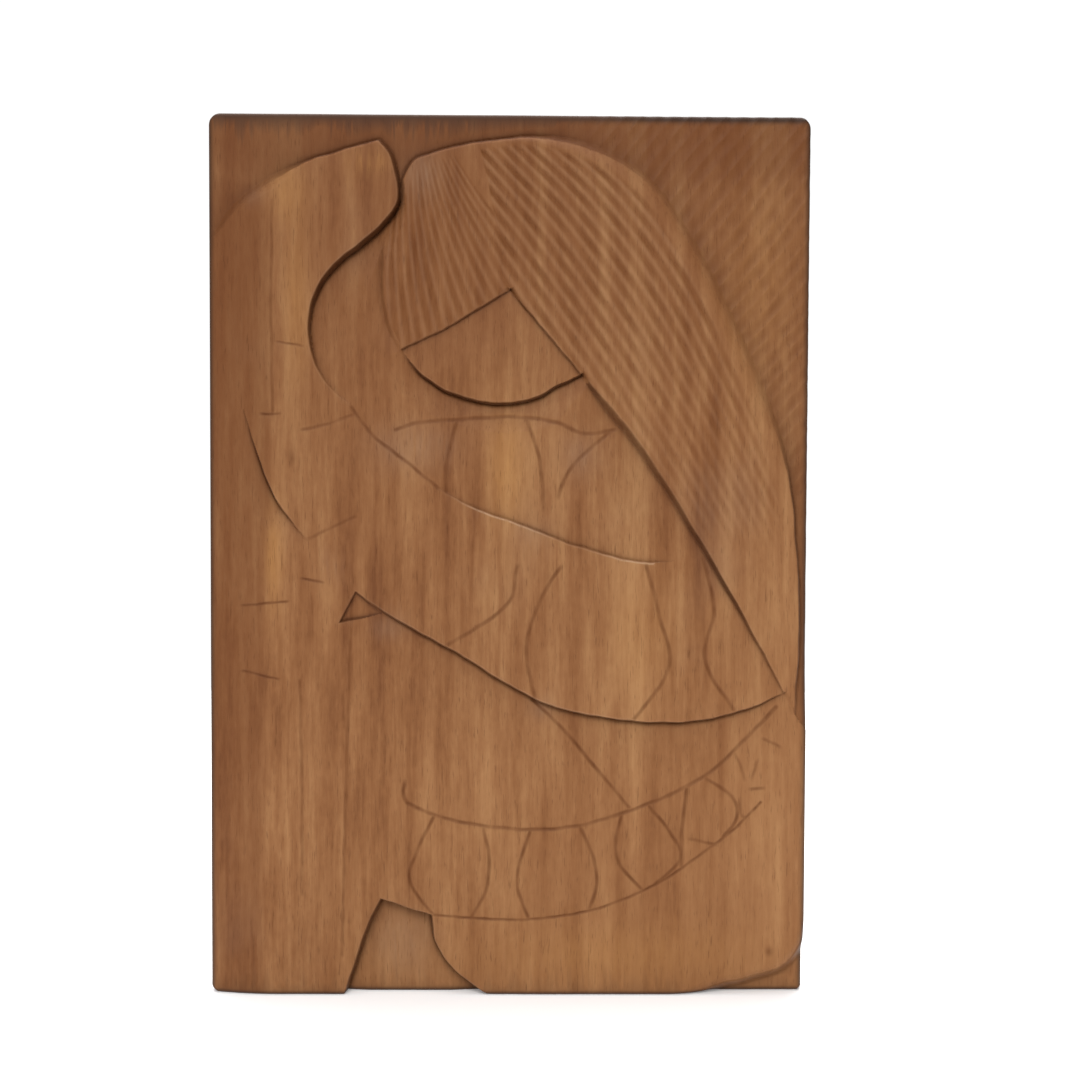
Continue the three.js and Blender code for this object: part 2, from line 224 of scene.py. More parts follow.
OUTLINES = [
    (ARM_FOLD, FOLD_LINE),
    (NECKLINE, SOFT_LINE),
    (SKIRT_FOLD, FOLD_LINE),
    (HEM_TOP, HEM_LINE),
    (HEM_END, HEM_LINE),
    (HEM_BOTTOM, THIN_LINE),
    (CUFF_UPPER, FAINT_LINE),
    (CUFF_LOWER, FAINT_LINE),
]
CREASES = [
    [(-140, 129), (-122, 126)],
    [(-150, 86), (-136, 86)],
    [(-161, -29), (-131, -26)],
    [(-161, -68), (-137, -73)],
    [(-125, -12), (-110, -15)],
]
HEM_TAIL_CUTS = [
    [(136, -115), (140, -124), (143, -134)],
    [(150, -121), (149, -127), (147, -134)],
    [(145, -139), (156, -138)],
    [(140, -144), (141, -154), (145, -156)],
    [(153, -108), (165, -114)],
    [(109, -169), (127, -173)],
]
GRAIN_LINES = [
    [(-141, 214), (-142, 150), (-141, 84)],
    [(-94, -24), (-97, -120), (-100, -242)],
    [(-125, -72), (-124, -140), (-124, -205)],
]

# Ornament in the bands of the dress: where each line leaves the upper and the lower edge, how far it is
# bowed sideways at a third and at two thirds of the way, and the part of its length that is cut
ORNAMENT_BANDS = [
    (NECKLINE, YOKE_EDGE, SOFT_LINE, [
        (-31, -37, (-2, -3), (0, 1)),
        (10, 21, (4, 3), (0, 0.8)),
        (62, 27, (-12, -10), (0, 0.65)),
    ]),
    (YOKE_EDGE, SLEEVE_EDGE, SOFT_LINE, [
        (10, -38, (11, 20), (0.3, 1)),
        (40, 16, (-12, -13), (0.15, 1)),
        (82, 75, (11, 19), (0, 1)),
        (117, 137, (0, -12), (0, 1)),
    ]),
    (HEM_TOP, HEM_BOTTOM, FOLD_LINE, [
        (-44, -45, (-10, -14), (0, 1)),
        (-15, -22, (6, 7), (0, 1)),
        (14, 13, (-6, -7), (0, 1)),
        (43, 49, (6, 7), (0, 1)),
        (69, 82, (-8, -10), (0, 1)),
        (84, 88, (12, 18), (0, 1)),
        (108, 105, (-1, -1), (0, 1)),
        (118, 129, (14, 13), (0, 1)),
    ]),
]

# Combed hair: the rails it runs between, number of locks, length, and where along it the grooves fade in;
# the fringe is pressed less, and the long hair weakens between two heights, then again at its tail
FRINGE = (FRINGE_OUTER, FRINGE_INNER, 16, 115, (0.06, 0.26))
LONG_HAIR = (HAIR_INNER, HAIR_OUTER, 17, 390, (-0.1, 0.0))
FRINGE_PRESS = 0.78
TAIL_FADE = (-2, 38)
TAIL_LEAST = 0.08
LONG_HAIR_FADE = (60, 160)
LONG_HAIR_LEAST = 0.55
LOCK_DEPTH = 1.6
LOCK_STEEPNESS = 0.25
PLAIN_RIM = (2.5, 7.0)
PLAIN_RIM_X = (0, 70)
RIM_RUN = 4.0
GOUGE_STROKE = 36.0
STROKE_LEVEL = 0.70
STROKE_WAVES = ((0.22, 1.0, 2.4), (0.12, 0.37, 4.1))
GROOVE_POWER = 1.3
RIDGE_POWER = 3
# Painted highlight on the ridges between the hair's grooves
RIDGE_HIGHLIGHT = 0.1
HAIR_REACH = 90.0
HAIR_EDGE_STEPS = 80
HAIR_EDGE = 0.5
HAIR_BACK_RUN = 1.5

# The search for a place between two rails: samples of the rails, first guesses, rounds, and limits
RAIL_STEPS = 600
RAIL_GUESSES = 40
RAIL_ROUNDS = 14
RAIL_MARGIN = 2
SHARE_STEP = 0.3
LENGTH_STEP = 0.1
LEAST_AREA = 1e-6
MISS_MOST = 0.8
RAIL_EDGE = 1.5

# Lighter, greyer and darker patches by place: x, y, half width, half height, strength
GOLD_SPOTS = [
    (-2, 55, 10, 30, 0.8), (-131, 216, 10, 16, 0.6), (-84, 236, 12, 6, 0.6), (-141, 0, 5, 28, 0.8),
    # The spot at (-68, -242) is painted light that lifts the leg gap's floor out of its shade
    (-127, 154, 7, 44, 0.5), (80, -49, 22, 34, 0.3), (70, -242, 80, 18, 0.5), (-68, -242, 20, 22, 0.45),
    (150, 170, 22, 60, 0.35),
]
BLOOM_SPOTS = [
    (-57, 67, 24, 12, 0.8), (-72, -42, 10, 7, 0.7), (42, 62, 12, 12, 0.7), (-52, 229, 11, 14, 0.8),
    (-153, 215, 6, 5, 0.6), (-107, -6, 7, 6, 0.5), (20, -91, 8, 6, 0.7), (12, 16, 12, 4, 0.5),
    # The spot at (-66, -236) greys the leg gap's floor and lifts it out of its shade with painted light
    (-66, -236, 16, 20, 0.9),
]
# Darker patches: the first is painted shade on the ground between hand and crown, the others darken the wood
# broadly
SHADE_AND_TONE_SPOTS = [(-54, 250, 16, 9, 1.0), (-120, -235, 14, 40, 0.3), (50, -48, 62, 30, 0.2)]
KNOTS = [(-130, 60, 2.2, 5.0, 0.7), (159, -238, 2.5, 3.0, 0.7)]

SPOT_BREAKS = [(9, 31), (5, 17)]
SPOT_BREAK = 0.25

# Dark edges of the board: strength, how far in they are full and where they end, all round and at the top
RIM = (0.7, 1.2, 3.5)
TOP_RIM = (0.8, 1.4, 4.5)
TOP_RIM_MORE = (0.2, 40, 100)

# Painted shade on the wood: over the roll, on the ground at the top and at the right, in depth and in facets
ROLL_SHADE = (0.62, 4)
TOP_SHADE = (0.95, 215, 250)
SIDE_SHADE = 0.6
SIDE_SHADE_X = (150, 172)
SIDE_SHADE_Y = (90, 20)
DEPTH_SHADE = (0.4, 8)
DEPTH_SHADE_FOOT = -150
FACET_SHADE = 0.6

# Unevenness: how far the hand, the board and the scraper stray, and wave lengths across and along the board
WANDER = 0.45
WANDER_X = [(61, 47), (23, 29)]
WANDER_Y = [(53, 67), (31, 19)]
BOARD_WARP = [(170, 240), (95, 310), (60, 150)]
WARP_LEVEL = 0.35
WARP_HEIGHT = 0.3
SCRAPER = [(9.5, 210), (14, 160), (6.3, 120)]
SCRAPER_HEIGHT = 0.09
WAVE_SWAY = 0.8
SEEDS = {"wander_x": 3, "wander_y": 4, "facets": 5, "warp": 7, "scraper": 11, "spots": 21}


def spline(points, t):
    """Points of the uniform Catmull-Rom curve through the given points, at t from 0 to 1.

    Between two points the curve is the cubic whose slope at each of them is half the step between its
    neighbours; the first and last points stand in for the neighbours they lack.
    """
    given = np.array(points, float)
    last = len(given) - 1
    place = np.clip(np.asarray(t, float), 0, 1) * last
    index = np.minimum(place.astype(int), last - 1)
    w = (place - index)[..., None]
    before, start, end, after = (given[np.clip(index + k, 0, last)] for k in (-1, 0, 1, 2))
    slope_in = (end - before) / 2
    slope_out = (after - start) / 2
    cubic = 2 * start - 2 * end + slope_in + slope_out
    square = 3 * end - 3 * start - 2 * slope_in - slope_out
    return cubic * w ** 3 + square * w ** 2 + slope_in * w + start


def along(values, t):
    """Value at t in 0..1 along a list of evenly spaced values."""
    return np.interp(t, np.linspace(0, 1, len(values)), values)


def ease(t):
    """Smooth step from 0 to 1: 3 t squared minus 2 t cubed."""
    t = np.clip(t, 0, 1)
    return t * t * (3 - 2 * t)


def between(value, start, end):
    """Smooth step from 0 at the start to 1 at the end."""
    return ease((value - start) / (end - start))


def ramp(d, soft):
    """Zero below, d above, and a parabola between minus soft and plus soft."""
    return np.where(d <= -soft, 0.0, np.where(d >= soft, d, (d + soft) ** 2 / (4 * soft)))


def waves(x, y, sizes, seed):
    """Sum of sine waves, in -1..1: each has its lengths across and along the board and a seeded phase."""
    phases = np.random.default_rng(SEEDS[seed]).uniform(0, 2 * math.pi, (len(sizes), 2))
    total = sum(
        np.sin(2 * math.pi * x / across + p + WAVE_SWAY * np.sin(2 * math.pi * y / up + q))
        * np.cos(2 * math.pi * y / up + q)
        for (across, up), (p, q) in zip(sizes, phases)
    )
    return total / len(sizes)


def axis(half):
    """Grid lines across the board: an even step inside, and a quarter circle's spacing over the arris."""
    turn = np.linspace(0, math.pi / 2, ARRIS_STEPS + 1)
    edge = FRONT_ARRIS * (1 - np.cos(turn))
    inner = half - FRONT_ARRIS
    steps = int(round(2 * inner / GRID_STEP))
    middle = np.linspace(-inner, inner, steps + 1)
    return np.concatenate([edge[:-1] - half, middle, half - edge[:-1][::-1]])


COLUMNS = axis(HALF_WIDTH)
ROWS = axis(HALF_HEIGHT)
GRID_X, GRID_Y = np.meshgrid(COLUMNS, ROWS)
# The hand wanders a little from the drawn line
DRAWN_X = GRID_X + WANDER * waves(GRID_X, GRID_Y, WANDER_X, "wander_x")
DRAWN_Y = GRID_Y + WANDER * waves(GRID_Y, GRID_X, WANDER_Y, "wander_y")


def measure(points, reach):
    """For each grid point near a row of points: distance, share of the row's length, side and overshoot.

    Each stretch between two points looks only at the grid points in its own window, and keeps what is
    nearer than what the stretches before it found. The side is 1 to the left of the row's direction and -1
    to the right. The overshoot is how far a point lies beyond the row's ends.
    """
    near = np.full(GRID_X.shape, np.inf)
    share = np.zeros(GRID_X.shape)
    side = np.ones(GRID_X.shape)
    past = np.zeros(GRID_X.shape)
    count = len(points) - 1
    margin = reach + WANDER
    for k in range(count):
        a, b = points[k], points[k + 1]
        low, high = np.minimum(a, b) - margin, np.maximum(a, b) + margin
        window = (slice(*np.searchsorted(ROWS, (low[1], high[1]))),
                  slice(*np.searchsorted(COLUMNS, (low[0], high[0]))))
        step = b - a
        dx, dy = DRAWN_X[window] - a[0], DRAWN_Y[window] - a[1]
        free = (dx * step[0] + dy * step[1]) / (step @ step)
        u = np.clip(free, 0, 1)
        gap = np.hypot(dx - u * step[0], dy - u * step[1])
        better = gap < near[window]
        near[window] = np.where(better, gap, near[window])
        share[window] = np.where(better, (k + u) / count, share[window])
        left = step[0] * dy - step[1] * dx >= 0
        side[window] = np.where(better, np.where(left, 1, -1), side[window])
        beyond = np.abs(free - u) * np.hypot(*step)
        loose = (free < 0) & (k == 0) | (free > 1) & (k == count - 1)
        past[window] = np.where(better, np.where(loose, beyond, 0), past[window])
    return near, share, side, past


def fine(points, steps=CURVE_STEPS):
    """A curve through the points, as an array of evenly spaced samples."""
    return spline(points, np.linspace(0, 1, steps + 1))


def inside(outline):
    """True where a grid point lies inside a closed outline: its row crosses it an odd number of times."""
    crossed = np.zeros(GRID_X.shape, bool)
    for a, b in zip(outline, np.roll(outline, -1, 0)):
        spans = (DRAWN_Y < a[1]) != (DRAWN_Y < b[1])
        rise = b[1] - a[1] if b[1] != a[1] else 1.0
        crossed ^= spans & (DRAWN_X < a[0] + (DRAWN_Y - a[1]) * (b[0] - a[0]) / rise)
    return crossed


def shade_stain_wear_and_highlight(gap, lean, depth, shade_and_stain, arris_wear_and_highlight, reach=SHADE_AND_STAIN_REACH):
    """How dark a wall is with painted shade and stain, and how pale its arris with wear and a painted
    highlight, from the gap to the arris and the wall's lean and depth.

    The darkness is full on the wall and falls off over the floor beyond as an exponential; the paleness is a
    tent just back from the arris on the high side.
    """
    strength = np.clip(depth / FULL_SHADE_AND_STAIN_AT, 0, 1)
    floor = np.maximum(gap - lean, 0)
    dark = shade_and_stain * strength * ease((gap + SHADE_AND_STAIN_LIP) / (2 * SHADE_AND_STAIN_LIP)) * np.exp(-floor / reach)
    pale = arris_wear_and_highlight * np.sqrt(strength) * np.clip(1 - np.abs(gap + WEAR_AND_HIGHLIGHT_BACK) / WEAR_AND_HIGHLIGHT_HALF, 0, 1)
    return dark, pale


def stop_cut(gap, foot, depth, shade_and_stain):
    """Depth of the knife's groove along a wall's foot: a tent, deeper under a higher and darker wall."""
    deepest = STOP_DEPTH * np.minimum(shade_and_stain, 1) * np.clip(depth / FULL_SHADE_AND_STAIN_AT, 0, 1)
    return deepest * np.clip(1 - np.abs(gap - foot) / STOP_HALF, 0, 1)


def wall_profile(gap, depth, run, lean, shade_and_stain):
    """Height across a wall: rolled arris on the high side, leaning face, floor climbing back over the run.

    On the low side it is minus the face's drop, an easing over the lean, and then depth times
    (1 - gap / run). On the high side (negative gap) the arris falls off as a parabola. The stop cut is taken
    off at the foot.
    """
    arris = np.clip(ARRIS_SHARE * depth, ARRIS_LEAST, ARRIS_MOST)
    roll = arris * np.clip(1 + gap / (ARRIS_SPREAD * arris), 0, 1) ** 2
    face = np.minimum(roll + (depth - arris) * ease(gap / lean), depth)
    floor = depth * np.clip(1 - (gap - lean) / np.maximum(run - lean, LEAST_RUN), 0, 1)
    return -np.where(gap < 0, roll, np.where(gap < lean, face, floor)) - stop_cut(gap, lean, depth, shade_and_stain)


def cut_wall(curve, depths, runs, low, leans, stains, arris_wear_and_highlight):
    """Height, painted shade with stain, and wear with painted highlight of one wall, fading out past the
    line's ends.
    """
    near, share, side, past = measure(fine(curve), max(runs) + 1)
    gap = near * side * low
    depth, lean, shade_and_stain = (along(values, share) for values in (depths, leans, stains))
    fade = np.where(near < np.inf, 1 - ease(past / WALL_END), 0)
    dark, pale = shade_stain_wear_and_highlight(gap, lean, depth, shade_and_stain, along(arris_wear_and_highlight, share))
    return wall_profile(gap, depth, along(runs, share), lean, shade_and_stain) * fade, dark * fade, pale * fade


def sunk(gap, sinking, soft=0.0):
    """Height, painted shade with stain, and wear with painted highlight inside (positive gap) and outside a
    sinking: arris, sloped wall, flat floor.

    Where the edge is soft, from 0 to 1, the arris is a wide roll, the wall leans further out and has less
    painted shade and stain, spread further over the floor.
    """
    depth, lean, arris, shade_and_stain, arris_wear_and_highlight = sinking
    lean = lean + SOFT_LEAN_MORE * soft
    arris = arris + SOFT_ARRIS_MORE * soft
    shade_and_stain = shade_and_stain * (1 - SOFT_SHADE_AND_STAIN_LESS * soft)
    reach = SHADE_AND_STAIN_REACH + SOFT_REACH_MORE * soft
    depth = np.full(gap.shape, depth)
    roll = arris * np.clip(1 + gap / (ARRIS_SPREAD * arris), 0, 1) ** 2
    wall = ease(gap / lean)
    height = -np.where(gap < 0, roll, roll * (1 - wall) + depth * wall) - stop_cut(gap, lean, depth, shade_and_stain)
    return height, *shade_stain_wear_and_highlight(gap, lean, depth, shade_and_stain, arris_wear_and_highlight, reach)


def signed_gap(edge, outline, reach):
    """Distance from the carved edge, positive inside the outline and negative outside."""
    near = np.minimum(measure(edge, reach)[0], reach)
    return np.where(inside(outline), near, -near)


def incise(curve, cut):
    """Depth and darkness, painted shade with stain, of a V-shaped line that runs out at its ends and varies
    as a hand-led knife does.

    The pressure along the line varies as the product of two sines.
    """
    depth, half, dark = cut
    points = fine(curve, LINE_STEPS)
    length = np.hypot(*np.diff(points, axis=0).T).sum()
    reach = half + WANDER
    near, share, _, past = measure(points, reach)
    near = np.minimum(near, reach)
    from_end = np.minimum(share, 1 - share) * length
    ends = ease(from_end / LINE_RUN_OUT + LINE_END_LEFT) * (1 - ease(past / LINE_PAST))
    slow, fast = PRESS_WAVES
    waver = np.sin(share * length / slow + points[0, 0]) * np.sin(share * length / fast)
    press = 1 - LINE_PRESS + LINE_PRESS * waver
    v = np.clip(1 - near / half, 0, 1)
    return depth * ends * press * v ** LINE_HOLLOW, dark * ends * press * ease(LINE_DARK_SPREAD * v)


def at_x(curve, x):
    """Point of a left-to-right curve at a given x."""
    points = fine(curve, SEARCH_STEPS)
    return np.array([x, np.interp(x, points[:, 0], points[:, 1])])


def ornament_line(upper, lower, top, bottom, bow, part):
    """One line across a band, bowed sideways at a third and two thirds of the way from edge to edge."""
    start, end = at_x(upper, top), at_x(lower, bottom)
    thirds = [start + (end - start) * (i + 1) / 3 + (offset, 0) for i, offset in enumerate(bow)]
    return spline([start, *thirds, end], np.linspace(*part, STROKE_STEPS))


def left_of(curve):
    """Distance to the left of a hair line, negative to its right, as far as the hair reaches."""
    near, _, side, _ = measure(fine(curve, HAIR_EDGE_STEPS), HAIR_REACH)
    return np.minimum(near, HAIR_REACH) * side


def hair_masks(edge_gap):
    """Where the fringe and the long hair are combed: between their edges, up to a plain rim at the crown.

    The long hair's combing is full above and fades towards its tail.
    """
    thin, wide = PLAIN_RIM
    rim = thin + (wide - thin) * between(GRID_X, *PLAIN_RIM_X)
    crown = ease((edge_gap - rim) / RIM_RUN)
    front = left_of(PARTING + HAIR_FRONT[1:])
    back = left_of(HAIR_BACK)
    below = left_of(FRINGE_EDGE)
    fringe = FRINGE_PRESS * crown * ease(HAIR_EDGE - front) * ease(HAIR_EDGE + below)
    fringe = fringe * ease(back / HAIR_BACK_RUN)
    tail = TAIL_LEAST + (1 - TAIL_LEAST) * between(GRID_Y, *TAIL_FADE)
    tail = tail * (LONG_HAIR_LEAST + (1 - LONG_HAIR_LEAST) * between(GRID_Y, *LONG_HAIR_FADE))
    return fringe, crown * ease(HAIR_EDGE + front) * tail


def between_rails(rail_a, rail_b):
    """Window of the grid round two rails, and for its points: share s, place t, width and miss.

    A point between the rails is the blend of rail A and rail B at the same t, by the share s. Newton steps
    find s and t for every grid point. The width is the distance between the rails at t, and the miss is how
    far the point found lies from the grid point.
    """
    t_line = np.linspace(0, 1, RAIL_STEPS)
    rails = [spline(rail, t_line) for rail in (rail_a, rail_b)]
    slopes = [np.gradient(rail, t_line, axis=0) for rail in rails]
    both = np.concatenate(rails)
    low, high = both.min(0) - RAIL_MARGIN, both.max(0) + RAIL_MARGIN
    window = (slice(*np.searchsorted(ROWS, (low[1], high[1]))),
              slice(*np.searchsorted(COLUMNS, (low[0], high[0]))))
    x, y = GRID_X[window], GRID_Y[window]
    # A first guess: the t whose middle point is nearest
    middle = (rails[0] + rails[1]) / 2
    rough = np.linspace(0, RAIL_STEPS - 1, RAIL_GUESSES).astype(int)
    away = np.stack([(x - middle[i, 0]) ** 2 + (y - middle[i, 1]) ** 2 for i in rough])
    t = t_line[rough][away.argmin(0)]
    s = np.full(x.shape, 0.5)

    def look(table, axis_index):
        return np.interp(t, t_line, table[:, axis_index])

    for _ in range(RAIL_ROUNDS):
        ax, ay, bx, by = (look(r, i) for r in rails for i in (0, 1))
        tax, tay, tbx, tby = (look(r, i) for r in slopes for i in (0, 1))
        across_x, across_y = bx - ax, by - ay
        down_x, down_y = tax + s * (tbx - tax), tay + s * (tby - tay)
        miss_x, miss_y = x - ax - s * across_x, y - ay - s * across_y
        area = across_x * down_y - across_y * down_x
        area = np.where(np.abs(area) < LEAST_AREA, LEAST_AREA, area)
        s_step = np.clip((miss_x * down_y - miss_y * down_x) / area, -SHARE_STEP, SHARE_STEP)
        t_step = np.clip((across_x * miss_y - across_y * miss_x) / area, -LENGTH_STEP, LENGTH_STEP)
        s = np.clip(s + s_step, -SHARE_STEP, 1 + SHARE_STEP)
        t = np.clip(t + t_step, 0, 1)
    return window, s, t, np.hypot(across_x, across_y), np.hypot(miss_x, miss_y)


def combing(mask, rail_a, rail_b, count, length, fade_in):
    """Depth of the grooves of combed hair between two rails, painted shade in them, and painted highlight on
    the ridges.

    Grooves lie at s = (k + 1/2) / count, as a power of a cosine, as deep as the pitch allows, and fade in
    along t. Each lock is a row of gouge strokes, so its depth comes and goes as two sines.
    """
    window, s, t, width, miss = between_rails(rail_a, rail_b)
    inner = ease(s * count * RAIL_EDGE) * ease((1 - s) * count * RAIL_EDGE)
    band = inner * (miss < MISS_MOST) * mask[window] * between(t, *fade_in)
    lock = np.floor(s * count)
    stroke = 2 * math.pi * t * length / GOUGE_STROKE
    uneven = STROKE_LEVEL + sum(
        part * np.sin(stroke * pace + lock * shift) for part, pace, shift in STROKE_WAVES
    )
    groove = (0.5 - 0.5 * np.cos(2 * math.pi * (s * count))) ** GROOVE_POWER
    depth, dark, pale = (np.zeros(GRID_X.shape) for _ in range(3))
    # Painted shade in the grooves
    dark[window] = band * uneven * groove
    depth[window] = np.minimum(LOCK_DEPTH, LOCK_STEEPNESS * width / count) * dark[window]
    # Painted highlight on the ridges
    pale[window] = band * (1 - groove) ** RIDGE_POWER
    return depth, dark, pale


def roll_off():
    """Height of the left side's roll and how far each point lies over it."""
    change = between(GRID_Y, *ROLL_CHANGE)
    shoulder = ROLL_AT[0] + (ROLL_AT[1] - ROLL_AT[0]) * change
    soft = ROLL_SOFT[0] + (ROLL_SOFT[1] - ROLL_SOFT[0]) * change
    over = ramp(shoulder - GRID_X, soft) * (1 - between(GRID_Y, *ROLL_TOP))
    return -ROLL_DROP * np.minimum(over / (HALF_WIDTH + shoulder), ROLL_MOST), over


def facets(gap):
    """Shallow facets that the gouge leaves on the ground's right part.

    They are the absolute value of a sine along a slant that turns lower down and wavers, in patches.
    """
    x, y = GRID_X, GRID_Y
    across, down = FACET_SLANT
    turn, turn_top, turn_run = FACET_TURN
    slant = x * across - y * (down - turn * ease((turn_top - y) / turn_run))
    (sway_y, length_y), (sway_x, length_x) = FACET_WAVER
    slant = slant + sway_y * np.sin(y / length_y) + sway_x * np.sin(x / length_x)
    patches = 0.5 + 0.5 * waves(x, y, FACET_PATCHES, "facets")
    return (np.abs(np.sin(math.pi * slant / FACET_WIDTH)) * patches
            * between(x, *FACET_START) * between(gap, *FACET_GAP))


def ground_cut():
    """The sunk ground round hand and hair: height, painted shade with stain, wear with painted highlight,
    gap inside its edge, and facets.
    """
    tip = spline(HAND_SIDE, np.linspace(0, HAND_TIP_PART, TIP_STEPS))
    nape = spline(HAIR_BACK, np.linspace(NAPE_PART, 0, TIP_STEPS))
    edge = np.concatenate([fine(HAND_TOP), tip[1:], nape, fine(CROWN, CROWN_STEPS)[1:]])
    outer = [(PAST_SIDE, GROUND_FOOT), (PAST_SIDE, PAST_END), (-PAST_SIDE, PAST_END), HAND_TOP[0]]
    gap = signed_gap(edge, np.concatenate([edge, outer]), GROUND_REACH)
    crown_soft = between(GRID_Y, *CROWN_SOFT_Y) * between(GRID_X, *CROWN_SOFT_X)
    height, shade_and_stain, wear = sunk(gap, GROUND, np.maximum(crown_soft, between(GRID_X, *HAND_SOFT_X)))
    facet = facets(gap)
    fade = ease((GRID_Y - GROUND_FOOT) / GROUND_RISE)
    return (height - FACET_DEPTH * facet) * fade, shade_and_stain * fade, wear * fade, gap, facet * fade


def leg_gap_cut():
    """Height, painted shade with stain, and wear with painted highlight of the recess under the skirt; its
    floor climbs a little off the walls.
    """
    top = np.linspace(LEG_BACK[0], LEG_FRONT[0], SIDE_STEPS)
    outline = np.concatenate([fine(LEG_BACK, LINE_STEPS)[::-1], top[1:-1], fine(LEG_FRONT, LINE_STEPS)])
    gap = signed_gap(outline, outline, SINKING_REACH)
    height, shade_and_stain, wear = sunk(gap, LEG_GAP)
    climb, run = LEG_GAP_CLIMB
    return height + climb * ease((gap - LEG_GAP[1]) / run), shade_and_stain, wear


def seat_cut():
    """Height, painted shade with stain, and wear with painted highlight of the cut below the seat's lower
    right corner.
    """
    edge = fine(SEAT_CORNER, SEAT_STEPS)
    outline = np.concatenate([edge, [(PAST_SIDE, -PAST_END)]])
    return sunk(signed_gap(edge, outline, SINKING_REACH), SEAT)


def notch_cut():
    """Height, painted shade with stain, and wear with painted highlight of the small three-sided notch in
    the cuff.
    """
    sides = zip(CUFF_NOTCH[:-1], CUFF_NOTCH[1:])
    outline = np.concatenate([np.linspace(a, b, SIDE_STEPS, endpoint=False) for a, b in sides])
    return sunk(signed_gap(outline, outline, NOTCH_REACH), NOTCH)


def spots(places):
    """Soft patches: the greatest of the strengths times a bell over each, broken up by small waves."""
    bells = [
        strength * np.exp(-((GRID_X - cx) / wide) ** 2 - ((GRID_Y - cy) / high) ** 2)
        for cx, cy, wide, high, strength in places
    ]
    breaks = waves(GRID_X, GRID_Y, SPOT_BREAKS, "spots")
    return np.max(bells, 0) * (1 - SPOT_BREAK + SPOT_BREAK * breaks)


def edge_rim():
    """How dark the board's edges are: an easing inward all round, wider and stronger at the top."""
    def darkening(rim, inward):
        strength, full, run = rim
        return strength * ease(full - inward / run)

    above = HALF_HEIGHT - GRID_Y
    round_edge = darkening(RIM, np.minimum(HALF_WIDTH - np.abs(GRID_X), HALF_HEIGHT - np.abs(GRID_Y)))
    strength, full, run = TOP_RIM
    more, start, end = TOP_RIM_MORE
    at_top = darkening((strength + more * between(GRID_X, start, end), full, run), above)
    return np.maximum(round_edge, at_top)


def shade_and_tone_marks(over, ground_gap, depth, facet):
    """How much painted shade the wood gets, with some darker patches: the greatest of several places, and
    more in the depth and in the facets.
    """
    on_ground = ground_gap > 0
    share, run = ROLL_SHADE
    on_roll = share * ease(over / run)
    share, start, end = TOP_SHADE
    at_top = share * between(GRID_Y, start, end) * on_ground
    at_side = SIDE_SHADE * between(GRID_X, *SIDE_SHADE_X) * between(GRID_Y, *SIDE_SHADE_Y) * on_ground
    dusk = np.maximum.reduce([on_roll, at_top, at_side, spots(SHADE_AND_TONE_SPOTS)])
    share, deep = DEPTH_SHADE
    sunk_shade = share * np.clip(depth / deep, 0, 1) * (GRID_Y > DEPTH_SHADE_FOOT)
    return np.clip(dusk + sunk_shade + FACET_SHADE * facet, 0, 1)


